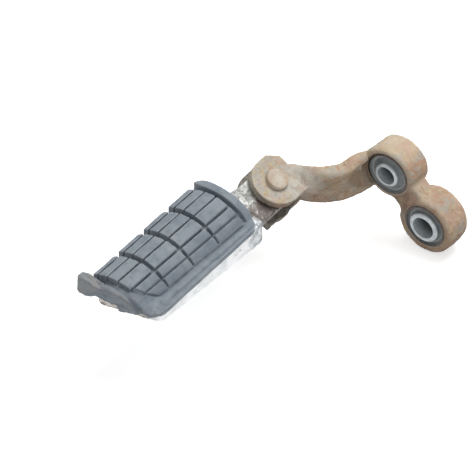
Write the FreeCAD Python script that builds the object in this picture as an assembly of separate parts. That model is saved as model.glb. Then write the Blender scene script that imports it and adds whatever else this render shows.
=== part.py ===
import FreeCAD, Part
import math
import os

# Folding motorbike footrest: a forged arm with two rubber-bushed eyes and a clevis,
# and a cast peg with a ribbed rubber foot pad, which folds back and up on the clevis pin.
# Origin: middle of the upper bush bore. +X outward along both bolts, +Y forward, +Z up.
# Lengths are millimetres and angles are degrees.

V = FreeCAD.Vector
X_AXIS = V(1, 0, 0)
Z_AXIS = V(0, 0, 1)

# Eyes and bushes
eye_spacing = 33.0
eye_drop_angle = 45.0
eye_length = 16.0
upper_eye_radius = 14.5
lower_eye_radius = 16.0
eye_crown = 0.6
eye_edge = 1.0
waist_width = 18.0
waist_thickness = 11.0
bush_radius = 12.1
shell_wall = 1.1
rubber_dish = 1.6
sleeve_stand_out = 1.5
sleeve_chamfer = 0.5
upper_bolt_radius = 5.25
upper_sleeve_wall = 1.45
lower_bolt_radius = 6.25
lower_sleeve_wall = 2.15
spot_face_margin = 1.0
bolt_margin = 1.0
spot_taper = 14.0

# Pivot: the middle of the clevis slot on the pin axis, and how far the pin leans towards +Y
pivot_out = 50.0
pivot_back = 43.5
pivot_drop = 3.0
pivot_lean = 27.0

# Clevis, in the pivot's own frame: x outward, y across, z along the pin
slot_gap = 10.0
ear_thickness = 4.5
ear_radius = 13.5
clevis_back = 13.2
shelf_radius = 14.5
shelf_reach = 13.0
shelf_corner = 4.0
ear_corner = 3.0
ear_cut_along = 6.0
ear_cut_across = 4.8
web_thickness = 4.7

# Arm stations: centre, heading in plan, lean, thickness and height of each section
arm_stations = [
    (V(-2.0, -9.0, -1.5), -10.0, 0.0, 9.0, 16.0),
    (V(13.0, -13.8, -3.5), -14.0, 0.0, 8.5, 19.5),
    (V(23.0, -17.8, -3.2), -30.0, 2.0, 8.5, 20.5),
    (V(30.6, -23.6, -2.9), -52.0, 4.0, 8.5, 20.5),
    (V(35.8, -33.0, -2.8), -70.0, 6.0, 9.0, 19.5),
    (V(40.0, -44.0, -3.5), -72.0, 6.0, 9.0, 17.0),
]
arm_corner = 2.6

# Pin, washer and split pin
pin_radius = 4.0
pin_clearance = 0.08
pin_head_radius = 5.8
pin_head_height = 2.4
pin_head_edge = 0.7
pin_tail = 8.0
pin_tail_chamfer = 0.8
washer_radius = 8.0
washer_thickness = 1.6
split_radius = 1.0
split_clearance = 0.1
split_ring_radius = 2.0
split_leg = 3.5
split_leg_angle = 50.0

# Tongue of the peg
tongue_clearance = 0.3
neck_half_width = 11.0
stop_gap = 0.3

# Return spring round the pin, in a pocket under the tongue
spring_wire_radius = 0.6
spring_coil_radius = 5.2
spring_turns = 2.5
spring_pitch = 1.7
spring_clearance = 0.4
spring_leg = 6.5

# Peg body, measured from the pivot along the row's own axes
body_start = 22.5
body_end_left = 121.0
body_end_right = 113.0
body_left = -22.5
body_right = 14.0
deck = 3.2
body_start_floor = -10.0
body_end_floor = -1.5
body_corner = 5.0
body_wall = 4.0
arch_y = -12.5
arch_z = -7.4
core_radius = 15.6
rib_thickness = 4.0
neck_clearance = 1.0
neck_blend = 33.0
neck_inset = 1.0

# Foot pad
pad_start = 28.0
pad_end_left = 129.5
pad_end_right = 118.0
pad_left = -24.0
flange_left = -28.6
flange_low = 9.0
pad_right = 15.4
pad_corner = 9.0
pad_near_corner = 6.0
pad_tip_corner = 2.0
overhang_radius = 19.5
nose_left = -8.0
nose_right = 12.0
nose_left_low = -1.5
nose_right_low = 0.8
nose_thickness = 1.6
rim_height = 3.0
floor_radius = 21.0
floor_shift = 4.5
block_radius = 24.7
inner_lip_radius = 26.3
outer_lip_radius = 28.0
inner_lip_width = 4.9
row_count = 4
lip_gap = 3.4
row_gap_left = 4.4
row_gap_right = 1.2
tread_corner = 19.5
row_pitch = 21.2
rim_width = 5.0
slots = [(-19.6, 1.3), (-13.4, 1.3), (-7.3, 1.3), (-1.7, 2.2), (4.4, 1.3)]

# Pad screws, washers and bonded nuts
screw_places = [55.0, 97.0]
screw_radius = 3.0
screw_clearance = 0.3
screw_head_radius = 5.0
screw_head_height = 4.0
screw_washer_radius = 6.5
screw_washer_thickness = 1.2
boss_radius = 7.5
nut_radius = 5.0
nut_share = 0.75

pivot = V(pivot_out, -pivot_back, -pivot_drop)
half_slot = slot_gap / 2
ear_top = half_slot + ear_thickness
web_face = clevis_back - web_thickness
tongue_half = half_slot - tongue_clearance
hub_radius = web_face - stop_gap
neck_start = shelf_radius + neck_clearance
pivot_place = FreeCAD.Placement(pivot, FreeCAD.Rotation(X_AXIS, -pivot_lean))
drop = math.radians(eye_drop_angle)
lower_eye = V(0, eye_spacing * math.cos(drop), -eye_spacing * math.sin(drop))
far = 400.0


def polygon(points):
    return Part.makePolygon(points + [points[0]])


def prism(points, direction):
    return Part.Face(polygon(points)).extrude(direction)


def box(low, high):
    size = high - low
    return Part.makeBox(size.x, size.y, size.z, low)


def rod(radius, start, end):
    return Part.makeCylinder(radius, (end - start).Length, start, end - start)


def ring(outer, inner, length, start, direction):
    return Part.makeCylinder(outer, length, start, direction).cut(
        Part.makeCylinder(inner, length, start, direction))


def at_pivot(shape):
    """Moves a shape from the pivot's own frame to its place on the part."""
    moved = shape.copy()
    moved.Placement = pivot_place.multiply(moved.Placement)
    return moved


def from_pivot(shape):
    """Moves a shape that was drawn about the pivot along the row's axes."""
    moved = shape.copy()
    moved.translate(pivot)
    return moved


def fuse(shapes):
    return shapes[0].multiFuse(shapes[1:]).removeSplitter()


def upright(edge):
    return edge.BoundBox.ZLength > max(edge.BoundBox.XLength, edge.BoundBox.YLength)


def stands_at(edge, x, y):
    return math.hypot(edge.CenterOfMass.x - x, edge.CenterOfMass.y - y) < 0.001


def eye_barrel(centre, radius):
    """Barrel of one eye, crowned between its two ends and rounded at both rims."""
    half = eye_length / 2
    low = V(-half, 0, 0)
    rim_low = V(-half, radius - eye_edge, 0)
    side_low = V(-half + eye_edge, radius, 0)
    crown = V(0, radius + eye_crown, 0)
    side_high = V(half - eye_edge, radius, 0)
    rim_high = V(half, radius - eye_edge, 0)
    high = V(half, 0, 0)
    edges = [
        Part.makeLine(low, rim_low),
        Part.makeLine(rim_low, side_low),
        Part.Arc(side_low, crown, side_high).toShape(),
        Part.makeLine(side_high, rim_high),
        Part.makeLine(rim_high, high),
        Part.makeLine(high, low),
    ]
    barrel = Part.Face(Part.Wire(edges)).revolve(V(0, 0, 0), X_AXIS, 360)
    barrel.translate(centre)
    return barrel


def rounded_section(centre, heading, lean, thickness, height):
    """Rounded rectangle square to a heading in plan, leaned about that heading."""
    t, h, r = thickness / 2, height / 2, arm_corner
    bend = r * (1 - math.sqrt(0.5))
    corners = [(t, h), (-t, h), (-t, -h), (t, -h)]
    points = []
    for y, z in corners:
        sy, sz = math.copysign(1, y), math.copysign(1, z)
        side = V(0, y, z - sz * r)
        middle = V(0, y - sy * bend, z - sz * bend)
        top = V(0, y - sy * r, z)
        points.append((side, middle, top) if sy * sz > 0 else (top, middle, side))
    edges = []
    for i, (start, middle, end) in enumerate(points):
        edges.append(Part.Arc(start, middle, end).toShape())
        edges.append(Part.makeLine(end, points[(i + 1) % 4][0]))
    wire = Part.Wire(edges)
    turn = FreeCAD.Rotation(Z_AXIS, heading).multiply(FreeCAD.Rotation(X_AXIS, -lean))
    wire.Placement = FreeCAD.Placement(centre, turn)
    return wire


def clevis():
    """Round upper ear, wider lower shelf and the web that joins them, in the pivot's frame."""
    ear_points = [
        V(0, ear_radius, half_slot),
        V(-clevis_back, ear_radius, half_slot),
        V(-clevis_back, -ear_radius + ear_cut_across, half_slot),
        V(-clevis_back + ear_cut_along, -ear_radius, half_slot),
        V(0, -ear_radius, half_slot),
    ]
    ear_root = prism(ear_points, V(0, 0, ear_thickness))
    rear = [e for e in ear_root.Edges if upright(e) and stands_at(e, -clevis_back, ear_radius)]
    ear = fuse([
        Part.makeCylinder(ear_radius, ear_thickness, V(0, 0, half_slot)),
        ear_root.makeFillet(ear_corner, rear),
    ])
    shelf_back = clevis_back + shelf_radius - ear_radius
    low = -ear_top
    shelf_points = [
        V(0, ear_radius, low),
        V(-clevis_back, ear_radius, low),
        V(-shelf_back, 0, low),
        V(-shelf_back, -shelf_radius + shelf_corner, low),
        V(-shelf_back + shelf_corner, -shelf_radius, low),
        V(0, -shelf_radius, low),
    ]
    shelf = fuse([
        Part.makeCylinder(shelf_radius, ear_thickness, V(0, 0, low)),
        prism(shelf_points, V(0, 0, ear_thickness)),
        box(V(0, 0, low), V(shelf_reach, ear_radius, -half_slot)),
    ])
    web = box(V(-clevis_back, stop_gap - hub_radius, -half_slot), V(-web_face, ear_radius, half_slot))
    return fuse([ear, shelf, web])


def bracket_arm():
    front = eye_length / 2 - eye_edge
    waist = box(V(front - waist_thickness, 0, -waist_width / 2), V(front, eye_spacing, waist_width / 2))
    waist.rotate(V(0, 0, 0), X_AXIS, -eye_drop_angle)
    arm = Part.makeLoft([rounded_section(*station) for station in arm_stations], True)
    upper, lower = eye_barrel(V(0, 0, 0), upper_eye_radius), eye_barrel(lower_eye, lower_eye_radius)
    solid = fuse([upper, lower, waist, arm, at_pivot(clevis())])
    start = V(-eye_length, 0, 0)
    for centre in (V(0, 0, 0), lower_eye):
        solid = solid.cut(rod(bush_radius, start + centre, centre - start))
    solid = solid.cut(bolt_room())
    pin_bore = Part.makeCylinder(pin_radius + pin_clearance, far, V(0, 0, -far / 2))
    anchor = Part.makeCylinder(spring_wire_radius + spring_clearance, slot_gap,
                               V(spring_coil_radius, 0, -ear_top - half_slot))
    swing = slot_room()
    return solid.cut(at_pivot(pin_bore)).cut(at_pivot(anchor)).cut(at_pivot(swing))


def bolt_room():
    """Tapered room in front of the upper bush, so that its bolt and washer clear the arm."""
    face = V(eye_length / 2, 0, 0)
    narrow = upper_bolt_radius + bolt_margin
    cone = Part.makeCone(bush_radius + spot_face_margin, narrow, spot_taper, face, X_AXIS)
    return fuse([cone, rod(narrow, face, V(far, 0, 0))])


def slot_room():
    """Space between the ears in front of the web, where the tongue swings."""
    return box(V(-web_face, -far, -half_slot), V(far, far, half_slot)).common(
        Part.makeCylinder(clevis_back + shelf_radius, slot_gap, V(0, 0, -half_slot)))


def bush(centre, bolt_radius, sleeve_wall):
    """Outer shell, dished rubber and inner sleeve of one bush."""
    half = eye_length / 2
    sleeve_radius = bolt_radius + sleeve_wall
    rubber_radius = bush_radius - shell_wall
    shell = ring(bush_radius, rubber_radius, eye_length, centre - V(half, 0, 0), X_AXIS)
    middle = (sleeve_radius + rubber_radius) / 2
    inner_low, inner_high = V(-half, sleeve_radius, 0), V(half, sleeve_radius, 0)
    outer_low, outer_high = V(-half, rubber_radius, 0), V(half, rubber_radius, 0)
    edges = [
        Part.Arc(inner_low, V(-half + rubber_dish, middle, 0), outer_low).toShape(),
        Part.makeLine(outer_low, outer_high),
        Part.Arc(outer_high, V(half - rubber_dish, middle, 0), inner_high).toShape(),
        Part.makeLine(inner_high, inner_low),
    ]
    rubber = Part.Face(Part.Wire(edges)).revolve(V(0, 0, 0), X_AXIS, 360)
    rubber.translate(centre)
    reach = half + sleeve_stand_out
    sleeve = rod(sleeve_radius, centre - V(reach, 0, 0), centre + V(reach, 0, 0))
    sleeve = sleeve.makeChamfer(sleeve_chamfer, [e for e in sleeve.Edges if e.Closed])
    sleeve = sleeve.cut(rod(bolt_radius, centre - V(reach, 0, 0), centre + V(reach, 0, 0)))
    return shell, rubber, sleeve


def pivot_pin():
    tail = ear_top + washer_thickness + pin_tail
    shank = Part.makeCylinder(pin_radius, tail + ear_top, V(0, 0, -tail))
    shank = shank.makeChamfer(pin_tail_chamfer, [e for e in shank.Edges if end_edge(e, -tail)])
    head = Part.makeCylinder(pin_head_radius, pin_head_height, V(0, 0, ear_top))
    head = head.makeFillet(pin_head_edge, [e for e in head.Edges if end_edge(e, ear_top + pin_head_height)])
    hole = rod(split_radius + split_clearance, V(0, -far, split_height()), V(0, far, split_height()))
    return at_pivot(fuse([shank, head]).cut(hole))


def end_edge(edge, height):
    return edge.Closed and abs(edge.CenterOfMass.z - height) < 0.001


def split_height():
    """Height of the split pin: it bears on the washer's lower face."""
    return -ear_top - washer_thickness - split_radius - split_clearance


def pivot_washer():
    hole = pin_radius + pin_clearance
    return at_pivot(ring(washer_radius, hole, washer_thickness, V(0, 0, -ear_top - washer_thickness), Z_AXIS))


def split_pin():
    """Wire eye, straight shank through the pin and two legs spread apart."""
    z = split_height()
    eye_y = -pin_radius - split_ring_radius - split_radius - split_clearance
    end_y = pin_radius + split_radius
    eye = Part.makeTorus(split_ring_radius, split_radius, V(0, eye_y, z), Z_AXIS)
    shank = rod(split_radius, V(0, eye_y + split_ring_radius, z), V(0, end_y, z))
    pieces = [eye, shank, Part.makeSphere(split_radius, V(0, end_y, z))]
    for side in (-1, 1):
        angle = math.radians(split_leg_angle) * side
        tip = V(split_leg * math.sin(angle), end_y + split_leg * math.cos(angle), z)
        pieces.append(rod(split_radius, V(0, end_y, z), tip))
    return at_pivot(fuse(pieces))


def spring_floor():
    """Height of the lowest turn's centre line."""
    return -half_slot + spring_clearance + spring_wire_radius


def return_spring():
    """Coil with one leg down into the lower ear and one leg out along the tongue."""
    z = spring_floor()
    height = spring_turns * spring_pitch
    helix = Part.makeHelix(spring_pitch, height, spring_coil_radius)
    start = V(spring_coil_radius, 0, 0)
    section = Part.Wire(Part.makeCircle(spring_wire_radius, start, V(0, 1, 0)))
    sweep = Part.BRepOffsetAPI.MakePipeShell(Part.Wire(helix.Edges))
    sweep.setFrenetMode(True)
    sweep.add(section)
    sweep.build()
    sweep.makeSolid()
    angle = math.radians(360 * spring_turns)
    end = V(spring_coil_radius * math.cos(angle), spring_coil_radius * math.sin(angle), height)
    foot = V(spring_coil_radius, 0, -z - ear_top + spring_clearance)
    tip = end + V(0, -spring_leg, 0)
    pieces = [
        sweep.shape(),
        Part.makeSphere(spring_wire_radius, start),
        rod(spring_wire_radius, start, foot),
        Part.makeSphere(spring_wire_radius, end),
        rod(spring_wire_radius, end, tip),
    ]
    solid = fuse(pieces)
    solid.translate(V(0, 0, z))
    return at_pivot(solid)


def spring_pocket():
    """Room in the tongue for the coil, and the slot that takes its upper leg."""
    top = spring_floor() + spring_turns * spring_pitch + spring_wire_radius + spring_clearance
    pocket = Part.makeCylinder(spring_coil_radius + spring_wire_radius + spring_clearance,
                               top + half_slot, V(0, 0, -half_slot))
    width = spring_wire_radius + spring_clearance
    slot = box(V(-spring_coil_radius - width, -spring_leg - width, -half_slot),
               V(-spring_coil_radius + width, 0, top))
    return fuse([pocket, slot])


def tongue():
    """Round hub with a square heel, which stops against the web, widening into the neck."""
    outline = [
        V(-hub_radius, 0, -tongue_half),
        V(-hub_radius, neck_half_width, -tongue_half),
        V(neck_start, neck_half_width, -tongue_half),
        V(neck_start, -neck_half_width, -tongue_half),
        V(hub_radius, -neck_half_width, -tongue_half),
        V(hub_radius, -hub_radius, -tongue_half),
        V(0, -hub_radius, -tongue_half),
        V(0, 0, -tongue_half),
    ]
    thick = V(0, 0, 2 * tongue_half)
    return fuse([prism(outline, thick), Part.makeCylinder(hub_radius, thick.z, V(0, 0, -tongue_half))])


def body_floor(x):
    share = (x - body_start) / (body_end_left - body_start)
    return body_start_floor + share * (body_end_floor - body_start_floor)


def body_end(y):
    """How far out the body's slanted end lies on a line along the peg."""
    share = (y - body_left) / (body_right - body_left)
    return body_end_left + share * (body_end_right - body_end_left)


def plan_slab(points, low, high, corner):
    """Upright slab over a plan, with its corners rounded."""
    slab = prism([V(x, y, low) for x, y in points], V(0, 0, high - low))
    return slab.makeFillet(corner, [e for e in slab.Edges if upright(e)])


def arch(radius, start, end, shift=0):
    return Part.makeCylinder(radius, end - start, V(start, arch_y + shift, arch_z), X_AXIS)


def sloped_floor():
    """Everything below the tapering underside of the body."""
    a, b = -far, far
    return prism([V(a, -far, body_floor(a)), V(b, -far, body_floor(b)), V(b, -far, -far), V(a, -far, -far)],
                 V(0, 2 * far, 0))


def body_core():
    """Deck with rounded corners and the arched core that carries the pad."""
    plan = [(body_start, body_left), (body_end_left, body_left),
            (body_end_right, body_right), (body_start, body_right)]
    deck_slab = plan_slab(plan, body_start_floor, deck, body_corner)
    room = box(V(body_start, body_left + body_wall, deck - body_wall), V(far, body_right - body_wall, far))
    saddle = arch(core_radius, pad_start + inner_lip_width, body_end_right - body_wall).common(room)
    return fuse([deck_slab, saddle]).cut(sloped_floor())


def body_hollow():
    """Open underside of the body, with crossed ribs and a boss round each screw left standing."""
    roof = deck - body_wall
    inner = body_wall
    start, end = neck_blend + inner, body_end_right - inner
    left, right = body_left + inner, body_right - inner
    plan = [(start, left), (end, left), (end, right), (start, right)]
    room = plan_slab(plan, body_start_floor, roof, body_corner - inner)
    half_rib = rib_thickness / 2
    x, y = (start + end) / 2, (left + right) / 2
    room = room.cut(box(V(x - half_rib, -far, -far), V(x + half_rib, far, far)))
    room = room.cut(box(V(-far, y - half_rib, -far), V(far, y + half_rib, far)))
    for x in screw_places:
        room = room.cut(Part.makeCylinder(boss_radius, far, V(x, arch_y, -far / 2)))
    return room


def screw_seat(x):
    """Height of the flat that the washer bears on, cut square into the tapering floor."""
    return body_floor(x - screw_washer_radius) + screw_head_height


def peg_body():
    neck = Part.makeLoft([neck_section(neck_start, True), neck_section(neck_blend, False)], True, True)
    solid = fuse([body_core(), neck]).cut(body_hollow())
    hole_radius, seat_radius = screw_radius + screw_clearance, screw_washer_radius + screw_clearance
    for x in screw_places:
        solid = solid.cut(Part.makeCylinder(hole_radius, far, V(x, arch_y, -far / 2)))
        solid = solid.cut(Part.makeCylinder(seat_radius, far, V(x, arch_y, screw_seat(x) - far)))
    bore = Part.makeCylinder(pin_radius + pin_clearance, far, V(0, 0, -far / 2))
    root = tongue().cut(spring_pocket()).cut(bore)
    root.Placement = FreeCAD.Placement(V(0, 0, 0), FreeCAD.Rotation(X_AXIS, -pivot_lean))
    return fuse([solid, root])


def neck_section(x, at_tongue):
    """Rectangle at the tongue's lean, or the level one that it runs into, sunk inside the body."""
    if at_tongue:
        w, h, lean, y, z = neck_half_width, tongue_half, -pivot_lean, 0, 0
    else:
        w, h, lean = (body_right - body_left) / 2 - body_corner, (deck - body_floor(x)) / 2 - neck_inset, 0
        y, z = (body_right + body_left) / 2, (deck + body_floor(x)) / 2
    wire = polygon([V(0, w, h), V(0, -w, h), V(0, -w, -h), V(0, w, -h)])
    wire.Placement = FreeCAD.Placement(V(x, y, z), FreeCAD.Rotation(X_AXIS, lean))
    return wire


def pad_plan(top, lip_start):
    """Plan of the pad, with a flange on the left of its slanted outer end, carried up from the deck."""
    corners = [
        (pad_start, pad_left, pad_near_corner),
        (lip_start, pad_left, 0),
        (lip_start, flange_left, pad_tip_corner),
        (pad_end_left, flange_left, pad_tip_corner),
        (pad_end_right, pad_right, pad_corner),
        (pad_start, pad_right, pad_corner),
    ]
    slab = prism([V(x, y, deck) for x, y, radius in corners], V(0, 0, top - deck))
    for x, y, radius in corners:
        if radius:
            slab = slab.makeFillet(radius, [e for e in slab.Edges if upright(e) and stands_at(e, x, y)])
    return slab


def pad_end(y):
    """How far out the pad's slanted end lies on a line along the peg."""
    share = (y - flange_left) / (pad_right - flange_left)
    return pad_end_left + share * (pad_end_right - pad_end_left)


def nose(plan):
    """Part of the pad that slopes down over the body's outer end."""
    top = deck + rim_height / 2
    wires = []
    for y, low in ((nose_left, nose_left_low), (nose_right, nose_right_low)):
        back = body_end(y) - nose_thickness
        wires.append(polygon([
            V(back, y, low),
            V(body_end(y) + nose_thickness, y, low),
            V(pad_end(y) - nose_thickness, y, top),
            V(back, y, top),
        ]))
    lowered = plan.copy()
    lowered.translate(V(0, 0, nose_left_low - deck))
    return Part.makeLoft(wires, True, True).common(lowered)


def tread_slab(start, end, top):
    """Slab that the blocks are cut from, with a wide round at its outer right corner."""
    right = pad_right - rim_width
    slab = box(V(start, pad_left, deck), V(end, right, top))
    middle = (start + end) / 2
    corner = [e for e in slab.Edges if upright(e) and e.CenterOfMass.x > middle and e.CenterOfMass.y > arch_y]
    return slab.makeFillet(tread_corner, corner)


def row_gap(x):
    """Gap in front of a row, which narrows from left to right."""
    right = pad_right - rim_width
    points = [V(x, pad_left, deck), V(x + row_gap_left, pad_left, deck),
              V(x + row_gap_right, right, deck), V(x, right, deck)]
    return prism(points, V(0, 0, far))


def foot_pad(body):
    """Rubber pad: flat rim, arched base, raised lip at each end and rows of tread blocks."""
    top = far / 4
    tread_start = pad_start + inner_lip_width
    row_end = tread_start + row_count * row_pitch
    lip_start = row_end + lip_gap
    plan = pad_plan(top, lip_start)
    rim = plan.common(box(V(pad_start, pad_left, deck), V(far, pad_right, deck + rim_height)))
    tread = tread_slab(tread_start, row_end, top)
    for i in range(row_count):
        tread = tread.cut(row_gap(tread_start + i * row_pitch))
    for y, width in slots:
        tread = tread.cut(box(V(-far, y - width / 2, -far), V(far, y + width / 2, far)))
    blocks = tread.common(arch(block_radius, tread_start, row_end)).common(plan)
    ground = plan.common(arch(floor_radius, pad_start, far, floor_shift))
    inner_lip = plan.common(arch(inner_lip_radius, pad_start, tread_start))
    outer_lip = plan.common(arch(outer_lip_radius, lip_start, far))
    solid = fuse([rim, ground, inner_lip, outer_lip, nose(plan)] + blocks.Solids)
    for x in screw_places:
        solid = solid.cut(Part.makeCylinder(nut_radius, nut_height(), V(x, arch_y, nut_low())))
        hole = Part.makeCylinder(screw_radius + screw_clearance, far, V(x, arch_y, nut_low() - far))
        solid = solid.cut(hole)
    under_flange = box(V(row_end, -far, -far), V(far, pad_left, flange_low))
    return solid.cut(body).cut(arch(overhang_radius, body_end_left, far)).cut(under_flange)


def nut_low():
    return arch_z + core_radius


def nut_height():
    """The nut takes a share of the rubber between the core and the floor of the grooves."""
    reach = nut_radius + floor_shift
    return nut_share * (math.sqrt(floor_radius ** 2 - reach ** 2) - core_radius)


def screws_and_seats():
    """Screw, washer and bonded nut at each place, each kind gathered in one group."""
    screws, washers, nuts = [], [], []
    for x in screw_places:
        seat = screw_seat(x)
        head = seat - screw_washer_thickness
        shank = Part.makeCylinder(screw_radius, nut_low() + nut_height() - head, V(x, arch_y, head))
        corners = [V(x + screw_head_radius * math.cos(math.radians(60 * i)),
                     arch_y + screw_head_radius * math.sin(math.radians(60 * i)),
                     head - screw_head_height) for i in range(6)]
        screws.append(fuse([shank, prism(corners, V(0, 0, screw_head_height))]))
        washers.append(ring(screw_washer_radius, screw_radius, screw_washer_thickness,
                            V(x, arch_y, head), Z_AXIS))
        nuts.append(ring(nut_radius, screw_radius, nut_height(), V(x, arch_y, nut_low()), Z_AXIS))
    return [from_pivot(Part.makeCompound(group)) for group in (screws, washers, nuts)]


def main():
    body = peg_body()
    shapes = {"bracket_arm": bracket_arm()}
    bushes = (("upper", V(0, 0, 0), upper_bolt_radius, upper_sleeve_wall),
              ("lower", lower_eye, lower_bolt_radius, lower_sleeve_wall))
    for name, centre, bolt_radius, wall in bushes:
        shell, rubber, sleeve = bush(centre, bolt_radius, wall)
        shapes[name + "_bush_shell"] = shell
        shapes[name + "_bush_rubber"] = rubber
        shapes[name + "_bush_sleeve"] = sleeve
    shapes["pivot_pin"] = pivot_pin()
    shapes["pivot_washer"] = pivot_washer()
    shapes["split_pin"] = split_pin()
    shapes["return_spring"] = return_spring()
    shapes["peg_body"] = from_pivot(body)
    shapes["foot_pad"] = from_pivot(foot_pad(body))
    shapes["pad_screws"], shapes["pad_washers"], shapes["pad_nuts"] = screws_and_seats()
    os.makedirs("parts", exist_ok=True)
    for name, shape in shapes.items():
        print(name, len(shape.Solids), shape.isValid(), round(shape.Volume, 1))
        shape.exportStep("parts/" + name + ".step")


main()
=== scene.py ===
import math

import bmesh
import bpy
import numpy as np
from mathutils import Matrix, Vector, noise


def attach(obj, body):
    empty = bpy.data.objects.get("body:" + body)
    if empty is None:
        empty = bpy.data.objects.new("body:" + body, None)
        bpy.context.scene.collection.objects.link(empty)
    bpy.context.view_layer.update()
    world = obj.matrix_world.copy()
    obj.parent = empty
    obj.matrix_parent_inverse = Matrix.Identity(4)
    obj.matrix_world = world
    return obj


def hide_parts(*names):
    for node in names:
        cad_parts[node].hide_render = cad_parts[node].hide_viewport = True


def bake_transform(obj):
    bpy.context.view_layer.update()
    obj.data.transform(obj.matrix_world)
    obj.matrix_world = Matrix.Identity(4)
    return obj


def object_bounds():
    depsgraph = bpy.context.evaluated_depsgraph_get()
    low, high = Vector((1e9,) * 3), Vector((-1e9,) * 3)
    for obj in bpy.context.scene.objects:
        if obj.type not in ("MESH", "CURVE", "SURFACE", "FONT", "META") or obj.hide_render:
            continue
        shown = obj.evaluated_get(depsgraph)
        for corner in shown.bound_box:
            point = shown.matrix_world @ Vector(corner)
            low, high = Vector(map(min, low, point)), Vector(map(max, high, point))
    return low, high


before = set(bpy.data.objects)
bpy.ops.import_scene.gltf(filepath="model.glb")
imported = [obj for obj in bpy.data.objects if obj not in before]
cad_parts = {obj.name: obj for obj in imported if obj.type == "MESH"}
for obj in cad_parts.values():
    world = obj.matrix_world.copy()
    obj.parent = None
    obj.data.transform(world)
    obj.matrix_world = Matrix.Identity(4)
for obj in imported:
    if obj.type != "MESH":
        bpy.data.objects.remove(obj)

# Folding motorbike footrest on a white table, in the part's own frame.
# Lengths below are millimetres, which MM turns into the scene's metres. A pair of limits belongs to a fade:
# no effect at the first, full effect at the second.

cad_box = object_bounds()
MM = 0.001

# Places on the part: the hinge, the eyes with their bushes, and the arch of the pad
PIVOT = Vector((50.0, -43.5, -3.0))
LEAN = math.radians(27.0)
PIN_AXIS = Vector((0.0, math.sin(LEAN), math.cos(LEAN)))
EAR_ACROSS = Vector((0.0, math.cos(LEAN), -math.sin(LEAN)))
UPPER_EYE = Vector((0.0, 0.0, 0.0))
LOWER_EYE = Vector((0.0, 23.33, -23.33))
BUSH_SEAT = 12.6
PIN_SEAT = 6.2
SEAT_FADE = 0.8
UPPER_BORE = 5.25
LOWER_BORE = 6.25
ARCH_Y = PIVOT.y - 12.5
ARCH_Z = PIVOT.z - 7.4
BLOCK_RADIUS = 24.7
GROOVE_RADIUS = 21.0
GROOVE_SHIFT = 4.5
# Along the peg from the pivot: the faces of the two lips that look at the tread
INNER_LIP = 33.0
OUTER_LIP = 121.0
# Where the worn part of the outer lip starts
LIP_START = PIVOT.x + 121.1
FLOOR_Z = -40.0

# Mesh finish: sizes of the faces, most triangles of the pad, and gap of welded seams
ARM_VOXEL = 0.45
BODY_VOXEL = 0.5
PAD_VOXEL = 0.34
PAD_TRIANGLES = 180000
WELD = 0.002
# Smoothing: strength of a round, and rounds all over
SMOOTHING = 0.5
ARM_ROUNDS = 1
BODY_ROUNDS = 5
PAD_ROUNDS = 2
# Roughness: lump size and depth
ARM_ROUGHNESS = ((5.0, 0.22), (1.4, 0.1))
BODY_ROUGHNESS = ((6.0, 0.2), (1.2, 0.07))
TORN_ROUGHNESS = (3.2, 0.3)
NOSE_ROUGHNESS = (4.5, 0.5)
PAD_ROUGHNESS = (9.0, 0.18)
# Noise: how fast its layers weaken, their spacing and their number
SKIN_NOISE = (0.6, 2.1, 4)
TEAR_NOISE = (0.7, 2.0, 4)
# Masks of hollows and ridges: gain, and rounds of spreading
ARM_CAVITY = (2.2, 6)
BODY_CAVITY = (2.2, 4)
PAD_CAVITY = (2.4, 2)

# Blended forms of the arm: middles and radii, and the rounds of smoothing there
ROOT = (41.0, -30.5, 2.7)
EYE_JOINT = (12.5, -13.5, 7.5)
WEB = (5.0, 11.7, -11.7)
FIRST_BLENDS = (((0.0, 11.7, -11.7), 13.0), ((8.0, -13.0, 2.0), 14.0), (ROOT, 9.0))
FIRST_ROUNDS = 30
LATE_BLENDS = ((EYE_JOINT, 15.0), (WEB, 12.0))
LATE_ROUNDS = 160
SWELL_RADIUS = 12.0
SWELL_HEIGHT = 3.4
SWELL_SIDE = (0.0, 0.4)
# Radius of the painted light where the arm meets the upper ear
LIT_ROOT_RADIUS = 12.0
BALL_POWER = 0.7
# Arm beside the upper ear, from the pivot: limits of where it is pressed down or raised to the ear's top
EAR_RADIUS = 12.0
EAR_TOP_SKIN = 0.1
PRESS_ALONG = (-18.0, -9.0)
RAISE_ALONG = (-17.0, -15.4)
RAISE_ACROSS = (14.2, 13.6)
RAISE_SIDE = (0.1, 0.4)
ROOT_ALONG = (-2.0, -4.0)
ROOT_ACROSS = (0.0, 4.0)
ROOT_ABOVE = 4.0
# Dark paint of the clevis, partly soiling and partly painted shade between the ears: limits from the pin's
# axis, up the pin and along the arm, and two shares
CLEVIS_DARK_REACH = (23.0, 20.0)
CLEVIS_DARK_TOP = (4.5, 4.0)
CLEVIS_DARK_END = (-9.2, -8.6)
SHELF_TOP = (-4.0, -5.0)
SHELF_DIRT_AND_SHADE = 0.4
# Painted shadow round the pin's head: limits from the pin's axis, the height above which it lies, and its
# share
HEAD_EDGE = (6.7, 6.1)
HEAD_ABOVE = 9.0
HEAD_SHADOW = 0.6

# What is left of the outer lip: the angle from upright about the arch and the radius there
WORN = ((-42.0, 31.0), (-34.0, 28.5), (-24.0, 25.9), (-12.6, 23.0), (-8.0, 22.7), (80.0, 22.2))
WORN_SLOPE = 0.15
WORN_RAGGED = 0.55
WORN_OUTSIDE = 36.0
WORN_BEFORE = 0.6
WORN_LENGTH = 12.0
WORN_FINENESS = (0.4, 0.1)
WORN_SEED = 3.0
WORN_ROWS = 24
WORN_STEPS = 90
# Lumps torn out of the pad: place from the pivot, radii and noise seed
TEARS = (
    ((129.2, -15.0, 13.5), (3.4, 1.0, 4.0), 2.0),
    ((128.6, -10.6, 10.4), (5.0, 3.4, 4.4), 3.0),
    ((118.4, 12.6, 2.0), (1.6, 2.6, 1.8), 5.0),
)
TEAR_RAGGED = 0.28
TEAR_FINENESS = 2.2
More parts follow.
